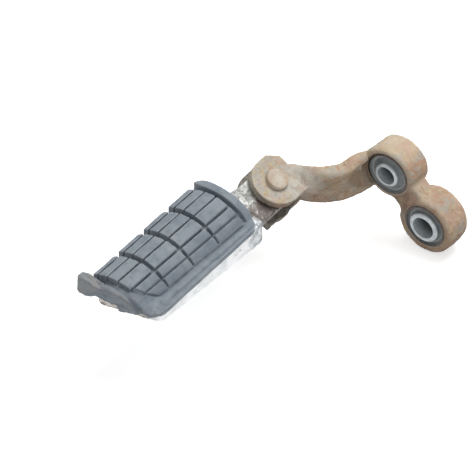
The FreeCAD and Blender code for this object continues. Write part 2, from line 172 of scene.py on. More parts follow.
# By place across the pad: how far the stub of the outer lip reaches down
STUB_UNDERSIDE = ((-30.0, 0.6), (-26.0, 1.4), (-21.0, 3.6), (-17.0, 3.4), (-14.5, 0.0))
STUB_ACROSS = (-15.0, -17.0)
STUB_RISE = 1.6
STUB_RISE_ABOVE = (11.5, 14.0)
STUB_RISE_ACROSS = (-19.0, -24.0)
STUB_SINK_BELOW = (13.0, 11.0)
STUB_SHORTENED = 0.22
# By place across the pad: the height that wear took off the inner lip
LIP_WEAR = ((-25.0, 0.0), (-19.6, 1.6), (-14.6, 1.9), (-7.0, 1.8), (0.0, 1.2), (6.0, 0.5), (10.0, 0.0))
LIP_WEAR_ABOVE = (7.0, 14.0)
# Rounded lower corner of the outer end: limits along and across the pad and in height
NOSE_END = 114.0
NOSE_ACROSS = (-10.0, -6.0)
SOFT_NOSE = (110.0, 13.0, 10.0)
ROUGH_NOSE = (108.0, 9.0, 6.0)
NOSE_ROUNDS = 70
LIP_SHARE = 0.15
# Paint masks of the pad: torn skin, and painted shade in the grooves and fine lines
TORN_RADIUS = (18.5, 19.5)
TORN_PAINT = 0.8
NOSE_PAINT = 0.25
GROOVE_SHADE = 0.7
FULL_SHADE_LINE = 0.6

# Slots between the blocks: middle and width as moulded, then as worn, across the pad from the pivot
SLOTS = (
    (-19.6, 1.3, -20.3, 0.9),
    (-13.4, 1.3, -14.5, 0.8),
    (-7.3, 1.3, -8.0, 0.8),
    (-1.7, 2.2, -0.4, 1.2),
    (4.4, 1.3, 4.6, 0.9),
)
SLOTS_FROM = -27.0
SLOTS_TO = 10.4
SLOT_RADIUS = (17.0, 18.6)
# The worn slots run at a slight slant, which fades out towards both sides
SLOT_SLANT = 0.02
SLANT_LEFT = (-26.0, -20.0)
SLANT_RIGHT = (10.4, 7.0)
FIRST_ROW = 46.0
ROW_GAP = 54.7
ROW_PITCH = 21.2
# Foot of the blocks on the right slope, rounded at the outer end
FOOT_LINE = 9.1
CORNER_X = 98.2
CORNER_Y = -9.1
CORNER_RADIUS = 19.3
FAR_INSIDE = -9.0
BLOCK_EDGE = (0.4, 0.0)
# Fine lines of the right slope and rim: depth and half width, then where they start and stop
GAP_LINE = (0.9, 0.55)
GAP_ACROSS = (-1.0, 3.0)
LAST_GAP = 110.0
SLOT_LINE = (0.35, 0.5)
FOOT_GROOVE = (0.8, 0.5)
FOOT_ACROSS = (-3.0, 1.0)
RIM_LINE = (0.4, 0.6)
RIM_LINE_Y = 13.4
RIM_LINE_END = (108.0, 102.0)
RIM_BEAD = (0.35, 0.8)
RIM_BEAD_Y = 11.3
RIM_BEAD_END = (112.0, 106.0)
BEAD_ABOVE = 5.0
LINES_ABOVE = 3.0
LINES_RADIUS = 21.5
# Groove floors: side limit, skin below the block tops, and the rise over which they fade
GROOVE_SIDE = 9.8
GROOVE_SKIN = 0.3
GROOVE_RISE = (1.2, 0.2)

# Table and light
WHITE = (1.0, 1.0, 1.0, 1.0)
TABLE_HALF = 3000.0
TABLE_GREY = 0.9
TABLE_GLOW = 0.6
WORLD_LEVEL = 0.42
LAMP_SIZE = 900.0
LAMP_POWER = 9.2
LAMP_OFFSET = Vector((-500.0, 100.0, 1050.0))

# Camera: its right, the direction to it, the point in the middle of the picture, framed width and distance
VIEW_RIGHT = Vector((-0.585, 0.811, 0.0))
VIEW_AWAY = Vector((0.612, 0.441, 0.657))
VIEW_TARGET = Vector((69.7, -50.9, -23.2))
VIEW_WIDTH = 238.6
VIEW_DISTANCE = 9000.0
VIEW_END = 40000.0
SENSOR_WIDTH = 36.0


def rgb(red, green, blue):
    """Linear colour of a display colour from 0 to 255."""
    values = []
    for value in (red, green, blue):
        share = value / 255.0
        values.append(share / 12.92 if share <= 0.04045 else ((share + 0.055) / 1.055) ** 2.4)
    return (*values, 1.0)


class Paint:
    """A material, with short ways to add nodes to it."""

    def __init__(self, name, roughness, metallic=0.0):
        self.material = bpy.data.materials.new(name)
        self.material.use_nodes = True
        self.tree = self.material.node_tree
        self.shader = self.tree.nodes["Principled BSDF"]
        self.shader.inputs["Roughness"].default_value = roughness
        self.shader.inputs["Metallic"].default_value = metallic
        self.place = self.node("ShaderNodeTexCoord").outputs["Object"]

    def plug(self, socket, value):
        """Links another node's output to an input, or sets a constant on it."""
        if isinstance(value, bpy.types.NodeSocket):
            self.tree.links.new(value, socket)
        else:
            socket.default_value = value

    def node(self, kind, inputs=None, **settings):
        """A new node with its settings and inputs."""
        made = self.tree.nodes.new(kind)
        for key, value in settings.items():
            setattr(made, key, value)
        for key, value in (inputs or {}).items():
            self.plug(made.inputs[key], value)
        return made

    def grain(self, size, detail=4.0, rough=0.55, shift=0.0, warp=0.0, stretch=(1.0, 1.0, 1.0)):
        """Noise whose lumps are about that many millimetres across."""
        moved = self.node("ShaderNodeMapping", {
            "Vector": self.place, "Location": (shift, shift * 0.7, shift * 1.3), "Scale": stretch})
        made = self.node("ShaderNodeTexNoise", {
            "Vector": moved.outputs["Vector"], "Scale": 1.0 / (size * MM), "Detail": detail,
            "Roughness": rough, "Distortion": warp})
        return made.outputs["Fac"]

    def range(self, value, low, high, to_low=0.0, to_high=1.0):
        """Eases from to_low at low to to_high at high."""
        made = self.node("ShaderNodeMapRange", {
            "Value": value, "From Min": low, "From Max": high, "To Min": to_low, "To Max": to_high},
            interpolation_type="SMOOTHSTEP")
        return made.outputs["Result"]

    def math(self, operation, first, second):
        """A sum, product or other joining of two values."""
        made = self.node("ShaderNodeMath", operation=operation)
        for socket, value in zip(made.inputs, (first, second)):
            self.plug(socket, value)
        return made.outputs["Value"]

    def mix(self, share, first, second):
        """The first colour where share is 0, the second where it is 1."""
        made = self.node("ShaderNodeMix", data_type="RGBA")
        for socket, value in ((made.inputs[0], share), (made.inputs[6], first), (made.inputs[7], second)):
            self.plug(socket, value)
        return made.outputs[2]

    def stain(self, colour, mask, share, tone):
        """Covers that share of a colour with a tone where the mask is 1."""
        return self.mix(self.math("MULTIPLY", mask, share), colour, tone)

    def mask(self, name):
        """A value stored on the mesh."""
        return self.node("ShaderNodeAttribute", attribute_name=name).outputs["Fac"]

    def near(self, point, inner, outer):
        """1 within inner millimetres of a point, fading to 0 at outer."""
        gap = self.node("ShaderNodeVectorMath", {0: self.place, 1: point * MM}, operation="DISTANCE")
        return self.range(gap.outputs["Value"], outer * MM, inner * MM)

    def ring(self, eye):
        """Distance from an eye's axis."""
        flat = self.node("ShaderNodeVectorMath", {0: self.place, 1: (0.0, 1.0, 1.0)}, operation="MULTIPLY")
        ends = {0: flat.outputs["Vector"], 1: eye * MM}
        gap = self.node("ShaderNodeVectorMath", ends, operation="DISTANCE")
        return gap.outputs["Value"]

    def band(self, value, low, high, soft):
        """1 between low and high millimetres, with soft edges."""
        rise = self.range(value, (low - soft) * MM, (low + soft) * MM)
        fall = self.range(value, (high + soft) * MM, (high - soft) * MM)
        return self.math("MULTIPLY", rise, fall)

    def along(self, axis, low, high):
        """0 at low and 1 at high millimetres along a frame axis."""
        split = self.node("ShaderNodeSeparateXYZ", {"Vector": self.place})
        return self.range(split.outputs[axis], low * MM, high * MM)

    def bump(self, height, depth, below=None):
        """Shading relief of that many millimetres, on top of another relief."""
        inputs = {"Height": height, "Distance": depth * MM, "Strength": 1.0}
        if below is not None:
            inputs["Normal"] = below
        return self.node("ShaderNodeBump", inputs).outputs["Normal"]

    def finish(self, colour, normal, roughness):
        """The finished material."""
        self.tree.links.new(colour, self.shader.inputs["Base Color"])
        self.tree.links.new(normal, self.shader.inputs["Normal"])
        self.tree.links.new(roughness, self.shader.inputs["Roughness"])
        return self.material


def forged_rust():
    """Bare forging: pale tan scale mottled with pink, ochre and grey, dark pits; dark paint in the clevis
    that is partly soiling and partly painted shade, a painted shadow round the pin's head, painted shade on
    skin facing down, a painted highlight on ridges, and painted light where the arm meets the upper ear.
    """
    p = Paint("forged_rust", 0.85)
    broad = p.grain(14.0, 6.0, 0.6, warp=0.5)
    mid = p.grain(4.2, 8.0, 0.7, shift=0.31, warp=0.4)
    spot = p.grain(2.6, 5.0, 0.7, shift=1.13)
    fine = p.grain(1.1, 6.0, 0.75, shift=0.73)
    # Scale
    colour = p.mix(p.range(broad, 0.36, 0.64), rgb(208, 194, 171), rgb(190, 166, 141))
    colour = p.stain(colour, p.range(mid, 0.52, 0.64), 0.8, rgb(166, 126, 98))
    colour = p.stain(colour, p.range(mid, 0.47, 0.36), 0.7, rgb(180, 179, 168))
    colour = p.stain(colour, p.range(spot, 0.53, 0.65), 0.6, rgb(198, 156, 132))
    colour = p.stain(colour, p.range(spot, 0.45, 0.34), 0.6, rgb(214, 200, 160))
    # Eyes and the waist between them
    colour = p.stain(colour, p.near(LOWER_EYE, 10.0, 24.0), 0.65, rgb(178, 134, 108))
    upper_front = p.near(UPPER_EYE + Vector((-2.0, 13.0, 6.0)), 4.0, 13.0)
    colour = p.stain(colour, upper_front, 0.6, rgb(180, 134, 106))
    upper_top = p.near(UPPER_EYE + Vector((0.0, 2.0, 13.0)), 6.0, 14.0)
    colour = p.stain(colour, upper_top, 0.5, rgb(222, 200, 174))
    waist = p.near(0.5 * (UPPER_EYE + LOWER_EYE) + Vector((7.0, -2.0, -2.0)), 5.0, 13.0)
    colour = p.stain(colour, waist, 0.75, rgb(118, 96, 80))
    # Livelier face of the ears round the pin
    face = p.mix(p.range(broad, 0.4, 0.6), rgb(202, 196, 184), rgb(190, 178, 162))
    face = p.stain(face, p.range(mid, 0.52, 0.62), 0.75, rgb(180, 152, 122))
    face = p.stain(face, p.range(mid, 0.47, 0.38), 0.75, rgb(166, 168, 165))
    face = p.stain(face, p.range(spot, 0.53, 0.63), 0.6, rgb(212, 190, 142))
    colour = p.mix(p.near(PIVOT, 14.0, 28.0), colour, face)
    # Wide tints, dark rings round the bushes, pits and pale grains
    tint = p.grain(8.0, 3.0, 0.5, shift=2.1, warp=0.6)
    other = p.grain(6.5, 3.0, 0.5, shift=3.3, warp=0.6)
    colour = p.stain(colour, p.range(tint, 0.52, 0.64), 0.5, rgb(202, 168, 150))
    colour = p.stain(colour, p.range(tint, 0.47, 0.37), 0.5, rgb(178, 182, 176))
    colour = p.stain(colour, p.range(other, 0.54, 0.66), 0.5, rgb(208, 190, 148))
    for eye in (UPPER_EYE, LOWER_EYE):
        round_bush = p.range(p.ring(eye), 14.2 * MM, 12.2 * MM)
        colour = p.stain(colour, round_bush, 0.55, rgb(112, 88, 70))
    colour = p.stain(colour, p.range(fine, 0.56, 0.74), 0.6, rgb(128, 104, 84))
    colour = p.stain(colour, p.range(fine, 0.45, 0.32), 0.5, rgb(228, 218, 202))
    # Darker hollows, a painted highlight on ridges, and painted shade on skin that faces down or sideways
    hollow = p.mask("cavity")
    colour = p.mix(p.range(hollow, 0.55, 0.82), colour, rgb(98, 76, 60))
    # Painted highlight: ridges paler
    colour = p.mix(p.range(hollow, 0.44, 0.2), colour, rgb(212, 198, 178))
    # Painted shade: the lower a face turns, the darker its paint
    under = p.node("ShaderNodeSeparateXYZ", {"Vector": p.node("ShaderNodeNewGeometry").outputs["Normal"]})
    colour = p.mix(p.range(under.outputs["Z"], 0.5, -0.7), colour, rgb(118, 94, 76))
    # Painted light where the arm meets the upper ear: its sloping skin is painted as pale as the lit flat
    # top of the ear; dark paint in the clevis, partly soiling and partly painted shade
    lit_root = p.mix(p.range(mid, 0.42, 0.58), rgb(222, 216, 204), rgb(196, 188, 176))
    lit_root = p.stain(lit_root, p.range(fine, 0.56, 0.7), 0.7, rgb(136, 124, 108))
    colour = p.mix(p.range(p.mask("lit_root"), 0.0, 0.6, 0.0, 0.6), colour, lit_root)
    # Clevis paint: partly soiling, partly painted shade in the slot between the ears and on the lower ear
    dirt_and_shade = p.mix(p.range(mid, 0.4, 0.6), rgb(112, 107, 99), rgb(156, 152, 142))
    dirt_and_shade = p.mix(p.range(fine, 0.54, 0.66), dirt_and_shade, rgb(70, 63, 56))
    colour = p.mix(p.mask("grime_and_shade"), colour, dirt_and_shade)
    normal = p.bump(mid, 0.3)
    normal = p.bump(fine, 0.25, normal)
    return p.finish(colour, normal, p.range(mid, 0.3, 0.7, 0.7, 0.95))


def pin_steel():
    """Tan, finely pitted steel."""
    p = Paint("pin_steel", 0.7, 0.1)
    mid = p.grain(4.0, 6.0, 0.6, shift=0.21)
    fine = p.grain(0.9, 5.0, 0.7, shift=0.5)
    colour = p.mix(p.range(mid, 0.4, 0.62), rgb(204, 194, 180), rgb(196, 177, 155))
    colour = p.stain(colour, p.range(fine, 0.58, 0.74), 0.5, rgb(136, 110, 86))
    normal = p.bump(fine, 0.15, p.bump(mid, 0.2))
    return p.finish(colour, normal, p.range(mid, 0.35, 0.65, 0.6, 0.85))


def cast_aluminium():
    """Bright casting: clean silver wall with dark scuffs and greyer patches at its inner end that are partly
    scuffs and partly painted shade; speckled neck whose front is darker, partly brown soiling and partly
    painted shade.
    """
    p = Paint("cast_aluminium", 0.42, 0.55)
    broad = p.grain(14.0, 5.0, 0.6, shift=0.4, warp=0.5)
    mid = p.grain(3.6, 7.0, 0.65, shift=0.12, warp=0.6)
    fine = p.grain(0.8, 5.0, 0.7, shift=0.9)
    scuff = p.grain(5.0, 6.0, 0.7, shift=0.55, warp=1.2, stretch=(0.35, 1.0, 1.6))
    # Wall
    colour = p.mix(p.range(broad, 0.38, 0.66), rgb(240, 242, 243), rgb(219, 222, 224))
    colour = p.mix(p.range(scuff, 0.58, 0.72), colour, rgb(128, 131, 134))
    # Greyer patches towards the inner end of the wall: partly scuffs, partly painted shade by the rounded
    # corner
    inner = p.math("MULTIPLY", p.along("X", 92.0, 80.0), p.range(mid, 0.36, 0.6))
    colour = p.mix(inner, colour, rgb(160, 167, 172))
    # Neck: dark and pale speckles, and its front side painted darker, partly brown soiling and partly
    # painted shade
    neck = p.along("X", 78.0, 73.0)
    grime_and_shade = p.stain(rgb(190, 192, 189), p.range(mid, 0.46, 0.62), 0.7, rgb(138, 136, 132))
    grime_and_shade = p.mix(p.range(fine, 0.54, 0.66), grime_and_shade, rgb(98, 95, 91))
    grime_and_shade = p.mix(p.range(fine, 0.43, 0.34), grime_and_shade, rgb(236, 238, 238))
    front_dirt_and_shade = p.math("MULTIPLY", p.along("Y", -47.0, -38.0), p.range(mid, 0.28, 0.5))
    grime_and_shade = p.stain(grime_and_shade, front_dirt_and_shade, 0.9, rgb(92, 82, 76))
    colour = p.mix(neck, colour, grime_and_shade)
    # Bare metal under the torn lip, then hollows and pits all over
    mud = p.mix(p.range(mid, 0.42, 0.58), rgb(84, 74, 64), rgb(196, 190, 180))
    mud = p.mix(p.range(fine, 0.5, 0.62), mud, rgb(240, 240, 238))
    colour = p.mix(p.along("X", PIVOT.x + 112.0, PIVOT.x + 116.0), colour, mud)
    hollow = p.mask("cavity")
    colour = p.mix(p.range(hollow, 0.56, 0.82), colour, rgb(72, 70, 68))
    colour = p.stain(colour, p.range(fine, 0.62, 0.74), 0.6, rgb(110, 110, 110))
    normal = p.bump(fine, 0.14, p.bump(mid, 0.3))
    return p.finish(colour, normal, p.range(mid, 0.3, 0.7, 0.32, 0.62))


def pad_rubber():
    """Blue-grey worn rubber: paler dusty tops and edges, painted shade in the grooves and fine lines, greyer
    where torn.
    """
    p = Paint("pad_rubber", 0.62)
    broad = p.grain(22.0, 5.0, 0.55, shift=0.17, warp=0.5)
    mid = p.grain(5.0, 6.0, 0.6, shift=0.44)
    fine = p.grain(0.7, 4.0, 0.65, shift=0.81)
    colour = p.mix(p.range(broad, 0.35, 0.65), rgb(123, 133, 143), rgb(139, 148, 156))
    colour = p.stain(colour, p.range(mid, 0.5, 0.68), 0.5, rgb(108, 117, 128))
    colour = p.stain(colour, p.range(fine, 0.56, 0.7), 0.3, rgb(166, 171, 174))
    hollow = p.mask("cavity")
    colour = p.mix(p.range(hollow, 0.42, 0.15), colour, rgb(152, 160, 167))
    colour = p.mix(p.range(hollow, 0.62, 0.9), colour, rgb(84, 91, 101))
    # Painted shade in the groove floors and fine lines
    colour = p.stain(colour, p.mask("depth"), 0.65, rgb(82, 90, 100))
    # Torn skin and the stub of the lip
    tear = p.mix(p.range(mid, 0.4, 0.6), rgb(122, 127, 135), rgb(146, 149, 151))
    tear = p.stain(tear, p.range(fine, 0.54, 0.68), 0.4, rgb(146, 146, 144))
    tear = p.mix(p.range(hollow, 0.72, 0.95), tear, rgb(92, 95, 99))
    stub = p.near(PIVOT + Vector((125.0, -24.0, 14.0)), 5.0, 9.0)
    stub_tone = p.mix(p.range(mid, 0.42, 0.6), rgb(150, 153, 154), rgb(158, 155, 150))
    tear = p.stain(tear, stub, 0.7, stub_tone)
    colour = p.mix(p.mask("torn"), colour, tear)
    normal = p.bump(fine, 0.06, p.bump(mid, 0.1))
    return p.finish(colour, normal, p.range(mid, 0.3, 0.7, 0.5, 0.75))


def bush_rubber(name, eye):
    """Dark rubber face with one paler ring near its outer edge."""
    p = Paint(name, 0.7)
    mid = p.grain(4.0, 5.0, 0.6, shift=0.37)
    fine = p.grain(0.8, 4.0, 0.6, shift=0.11)
    colour = p.mix(p.range(mid, 0.4, 0.62), rgb(118, 124, 128), rgb(142, 145, 145))
    colour = p.mix(p.band(p.ring(eye), 9.5, 10.2, 0.25), colour, rgb(176, 178, 176))
    colour = p.stain(colour, p.range(fine, 0.6, 0.75), 0.5, rgb(132, 122, 110))
    return p.finish(colour, p.bump(mid, 0.15), p.range(mid, 0.3, 0.7, 0.6, 0.85))


def bush_sleeve(name, eye, bore):
    """Worn bright end face and outside; painted shade in the bore, which darkens with depth."""
    p = Paint(name, 0.45, 0.4)
    mid = p.grain(3.0, 6.0, 0.6, shift=0.23)
    fine = p.grain(0.6, 4.0, 0.6, shift=0.67)
    colour = p.mix(p.range(mid, 0.38, 0.62), rgb(206, 212, 214), rgb(182, 189, 192))
    colour = p.mix(p.range(mid, 0.64, 0.74), colour, rgb(140, 122, 104))
    # Painted shade in the bore: pale at the mouths, dark deeper in
    inside = p.range(p.ring(eye), (bore + 0.35) * MM, (bore + 0.1) * MM)
    mouth = p.math("MAXIMUM", p.along("X", 1.0, 9.0), p.along("X", -1.0, -9.0))
    bore_shade = p.mix(mouth, rgb(58, 63, 66), rgb(206, 213, 216))
    colour = p.mix(inside, colour, bore_shade)
    return p.finish(colour, p.bump(fine, 0.06), p.range(fine, 0.3, 0.7, 0.4, 0.6))


def dull_steel(name, light, dark, rust, rust_start):
    """Dull steel with streaks and some rust."""
    p = Paint(name, 0.45, 0.55)
    mid = p.grain(3.0, 6.0, 0.6, shift=0.23)
    fine = p.grain(0.6, 4.0, 0.6, shift=0.67)
    colour = p.mix(p.range(mid, 0.38, 0.62), light, dark)
    colour = p.mix(p.range(mid, rust_start, rust_start + 0.12), colour, rust)
    return p.finish(colour, p.bump(fine, 0.06), p.range(fine, 0.3, 0.7, 0.35, 0.6))


def copy_of(node, name):
    """A free copy of a CAD node's mesh with its seams welded."""
    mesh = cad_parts[node].data.copy()
    mesh.materials.clear()
    shape = bmesh.new()
    shape.from_mesh(mesh)
    bmesh.ops.remove_doubles(shape, verts=shape.verts, dist=WELD * MM)
    shape.to_mesh(mesh)
    shape.free()
    made = bpy.data.objects.new(name, mesh)
    bpy.context.scene.collection.objects.link(made)
    return made


def object_from(shape, name):
    """A mesh object in the scene, made from a bmesh."""
    mesh = bpy.data.meshes.new(name)
    shape.to_mesh(mesh)
    shape.free()
    made = bpy.data.objects.new(name, mesh)
    bpy.context.scene.collection.objects.link(made)
    return made


def settle(piece):
    """Applies a piece's modifiers to its mesh."""
    graph = bpy.context.evaluated_depsgraph_get()
    mesh = bpy.data.meshes.new_from_object(piece.evaluated_get(graph))
    piece.modifiers.clear()
    piece.data = mesh


def remesh(piece, voxel):
    """Gives a piece an even skin of small faces."""
    step = piece.modifiers.new("remesh", "REMESH")
    step.mode = "VOXEL"
    step.voxel_size = voxel * MM
    settle(piece)


def smooth(piece, rounds, weights=None):
    """Relaxes the skin, everywhere or by a weight for each vertex."""
    step = piece.modifiers.new("smooth", "SMOOTH")
    step.factor = SMOOTHING
    step.iterations = rounds
    if weights is not None:
        group = piece.vertex_groups.new(name="share")
        for index, weight in enumerate(weights):
            if weight > 0.0:
                group.add([index], float(weight), "REPLACE")
        step.vertex_group = "share"
    settle(piece)
    piece.vertex_groups.clear()


def points_of(piece):
    """Vertex places in millimetres."""
    flat = np.empty(len(piece.data.vertices) * 3)
    piece.data.vertices.foreach_get("co", flat)
    return flat.reshape(-1, 3) / MM


def normals_of(piece):
    """Vertex normals."""
    flat = np.empty(len(piece.data.vertices) * 3)
    piece.data.vertices.foreach_get("normal", flat)
    return flat.reshape(-1, 3)


def place_points(piece, points):
    """Moves the vertices to places in millimetres."""
    piece.data.vertices.foreach_set("co", (points * MM).ravel())
    piece.data.update()


def store(piece, name, values):
    """Keeps a value for each vertex, as a mask for the paint."""
    layer = piece.data.attributes.new(name, "FLOAT", "POINT")
    layer.data.foreach_set("value", np.asarray(values, dtype=np.float32))


def store_cavity(piece, gain, rounds):
    """Stores 0.5 on flat skin, more in hollows and less on ridges."""
    points, normals = points_of(piece), normals_of(piece)
    pairs = np.empty(len(piece.data.edges) * 2, dtype=np.int64)
    piece.data.edges.foreach_get("vertices", pairs)
    first, second = pairs.reshape(-1, 2).T
    step = points[second] - points[first]
    step /= np.maximum(np.linalg.norm(step, axis=1, keepdims=True), 1e-9)
    count = len(points)
    degree = np.bincount(first, minlength=count) + np.bincount(second, minlength=count)
    degree = np.maximum(degree, 1)
    value = np.bincount(first, (normals[first] * step).sum(1), count)
    value -= np.bincount(second, (normals[second] * step).sum(1), count)
    value /= degree
    for _ in range(rounds):
        spread = np.bincount(first, value[second], count) + np.bincount(second, value[first], count)
        value = 0.5 * value + 0.5 * spread / degree
    store(piece, "cavity", np.clip(0.5 + gain * value, 0.0, 1.0))


def roughen(piece, size, depth, keep):
    """Pushes the skin in and out by noise with lumps of that size, except where keep is 0."""
    points, normals = points_of(piece), normals_of(piece)
    lumps = np.array([noise.fractal(Vector(point) / size, *SKIN_NOISE) for point in points])
    place_points(piece, points + normals * (lumps * depth * keep)[:, None])


def axis_distance(points, centre, axis):
    """Distance from the line through a point."""
    offset = points - np.array(centre)
    along = offset @ np.array(axis)
    return np.linalg.norm(offset - along[:, None] * np.array(axis), axis=1)


def fade(values, low, high):
    """0 at low and 1 at high, straight in between."""
    return np.clip((values - low) / (high - low), 0.0, 1.0)


def ball_share(points, centre, radius):
    """1 at a point, falling smoothly to 0 at that radius."""
    gap = np.linalg.norm(points - np.array(centre), axis=1) / radius
    return np.clip(1.0 - gap, 0.0, 1.0) ** BALL_POWER


def free_of_seats(points):
    """0 on the seats of the bushes and pin, 1 on free skin."""
    keep = np.ones(len(points))
    for eye in (UPPER_EYE, LOWER_EYE):
        keep *= np.clip((axis_distance(points, eye, (1, 0, 0)) - BUSH_SEAT) / SEAT_FADE, 0.0, 1.0)
    keep *= np.clip((axis_distance(points, PIVOT, PIN_AXIS) - PIN_SEAT) / SEAT_FADE, 0.0, 1.0)
    return keep


def dress(piece, node, body, material):
    """Keeps the piece inside the part's outer box, paints it and puts it in the node's place."""
    low, high = (np.array(corner) / MM for corner in cad_box)
    place_points(piece, np.clip(points_of(piece), low, high))
    piece.data.materials.clear()
    piece.data.materials.append(material)
    piece.data.shade_smooth()
    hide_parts(node)
    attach(piece, body)


def clevis_dirt_and_shade(points):
    """Dark paint, partly soiling and partly painted shade: full inside the clevis slot, less on the lower
    ear; a painted shadow round the pin's head; none on the arm.
    """
    offset = points - np.array(PIVOT)
    height = offset @ np.array(PIN_AXIS)
    from_pin = axis_distance(points, PIVOT, PIN_AXIS)
    near = fade(from_pin, *CLEVIS_DARK_REACH)
    slot = fade(height, *CLEVIS_DARK_TOP) * fade(offset[:, 0], *CLEVIS_DARK_END)
    shelf = fade(height, *SHELF_TOP)
    # Painted shadow: a dark ring on the ear's top round the pin's head
    head = fade(from_pin, *HEAD_EDGE) * (height > HEAD_ABOVE)
    return np.maximum(np.maximum(slot, SHELF_DIRT_AND_SHADE * shelf) * near, HEAD_SHADOW * head)


def level_root(arm):
    """Levels the arm's skin beside the upper ear with the ear's flat top."""
    points, normals = points_of(arm), normals_of(arm)
    offset = points - np.array(PIVOT)
    along, across = offset[:, 0], offset @ np.array(EAR_ACROSS)
    height = offset @ np.array(PIN_AXIS)
    outer_half = (axis_distance(points, PIVOT, PIN_AXIS) < EAR_RADIUS) & (along > 0.0)
    ear_top = height[outer_half].max() - EAR_TOP_SKIN
    ramp = fade(along, *PRESS_ALONG)
    press = ramp * ramp * (3.0 - 2.0 * ramp)
    raise_share = fade(along, *RAISE_ALONG) * fade(normals @ np.array(PIN_AXIS), *RAISE_SIDE)
    raise_share *= fade(across, *RAISE_ACROSS)
    zone = fade(along, *ROOT_ALONG) * fade(across, *ROOT_ACROSS) * (height > ROOT_ABOVE)
    lift = (ear_top - height) * np.where(height > ear_top, press, raise_share) * zone
    place_points(arm, points + lift[:, None] * np.array(PIN_AXIS))


def swell(arm, centre, radius, depth):
    """Pushes upward skin near a point outwards."""
    points, normals = points_of(arm), normals_of(arm)
    gap = np.linalg.norm(points - np.array(centre), axis=1) / radius
    push = depth * np.clip(1.0 - gap ** 2, 0.0, 1.0) ** 2 * fade(normals[:, 2], *SWELL_SIDE)
    place_points(arm, points + normals * (push * free_of_seats(points))[:, None])


def make_arm():
    """The forging: blended joints, an even top beside the ear and a rough skin, apart from its seats."""
    arm = copy_of("bracket_arm", "forged_arm")
    remesh(arm, ARM_VOXEL)
    points = points_of(arm)
    keep = free_of_seats(points)
    blend = np.maximum.reduce([ball_share(points, middle, radius) for middle, radius in FIRST_BLENDS])
    level_root(arm)
    smooth(arm, FIRST_ROUNDS, blend * keep)
    swell(arm, EYE_JOINT, SWELL_RADIUS, SWELL_HEIGHT)
    for middle, radius in LATE_BLENDS:
        smooth(arm, LATE_ROUNDS, ball_share(points_of(arm), middle, radius) * keep)
    smooth(arm, ARM_ROUNDS, keep)
    keep = free_of_seats(points_of(arm))
    for size, depth in ARM_ROUGHNESS:
        roughen(arm, size, depth, keep)
    store_cavity(arm, *ARM_CAVITY)
    # Mask of the clevis paint: soiling and painted shade, and the painted shadow round the pin's head
    store(arm, "grime_and_shade", clevis_dirt_and_shade(points_of(arm)))
    # Mask of the painted light where the arm meets the upper ear
    store(arm, "lit_root", ball_share(points_of(arm), ROOT, LIT_ROOT_RADIUS))
    dress(arm, "bracket_arm", "bracket", forged_rust())


def make_body():
    """The casting, with soft edges and a rough skin, apart from its seats."""
    body = copy_of("peg_body", "cast_peg")
    remesh(body, BODY_VOXEL)
    smooth(body, BODY_ROUNDS, free_of_seats(points_of(body)))
    keep = free_of_seats(points_of(body))
    for size, depth in BODY_ROUGHNESS:
        roughen(body, size, depth, keep)
    store_cavity(body, *BODY_CAVITY)
    dress(body, "peg_body", "peg", cast_aluminium())


def bite(centre, radii, seed):
    """A jagged lump, placed from the pivot in millimetres, that is torn out of the pad."""
    shape = bmesh.new()
    bmesh.ops.create_icosphere(shape, subdivisions=4, radius=1.0)
    for vert in shape.verts:
        rough = noise.fractal(vert.co * TEAR_FINENESS + Vector((seed, 0.0, 0.0)), *TEAR_NOISE)
        vert.co *= 1.0 + TEAR_RAGGED * rough
        vert.co = (Vector(c * r for c, r in zip(vert.co, radii)) + Vector(centre) + PIVOT) * MM
    return object_from(shape, "bite")


def wear():
    """Lump over the outer lip that leaves it worn down to a sloping, uneven skin."""
    angles, radii = zip(*WORN)
    shape = bmesh.new()
    layers = []
    for layer in range(2):
        grid = []
        for i in range(WORN_ROWS + 1):
            x = LIP_START - WORN_BEFORE + WORN_LENGTH * i / WORN_ROWS
            line = []
            for j in range(WORN_STEPS + 1):
                place = Vector((x * WORN_FINENESS[0], j * WORN_FINENESS[1], WORN_SEED))
                ragged = noise.fractal(place, *TEAR_NOISE)
                turn = angles[0] + (angles[-1] - angles[0]) * j / WORN_STEPS
                angle = math.radians(turn)
                reach = np.interp(turn, angles, radii) - WORN_SLOPE * (x - LIP_START) + WORN_RAGGED * ragged
                reach = WORN_OUTSIDE if layer else reach
                y = ARCH_Y + reach * math.sin(angle)
                z = ARCH_Z + reach * math.cos(angle)
                line.append(shape.verts.new((x * MM, y * MM, z * MM)))
            grid.append(line)
        layers.append(grid)
    inner, outer = layers
    for i in range(WORN_ROWS):
        for j in range(WORN_STEPS):
            for grid in layers:
                shape.faces.new((grid[i][j], grid[i + 1][j], grid[i + 1][j + 1], grid[i][j + 1]))
        for j in (0, WORN_STEPS):
            shape.faces.new((inner[i][j], inner[i + 1][j], outer[i + 1][j], outer[i][j]))
    for j in range(WORN_STEPS):
        for i in (0, WORN_ROWS):
            shape.faces.new((inner[i][j], inner[i][j + 1], outer[i][j + 1], outer[i][j]))
    bmesh.ops.recalc_face_normals(shape, faces=shape.faces)
    return object_from(shape, "wear")


def thin_out(piece, triangles):
    """Merges triangles, on the flattest skin first, down to about that many."""
    piece.data.calc_loop_triangles()
    step = piece.modifiers.new("thin", "DECIMATE")
    step.ratio = min(1.0, triangles / len(piece.data.loop_triangles))
    settle(piece)


def from_pivot(points):
    """Places along the peg, across it and in height, from the pivot."""
    return (points - np.array(PIVOT)).T


def arch_angle(points):
    """Angle from upright about the arch's axis."""
    return np.arctan2(points[:, 1] - ARCH_Y, points[:, 2] - ARCH_Z)


def arch_radius(points):
    """Distance from the arch's axis."""
    return np.hypot(points[:, 1] - ARCH_Y, points[:, 2] - ARCH_Z)


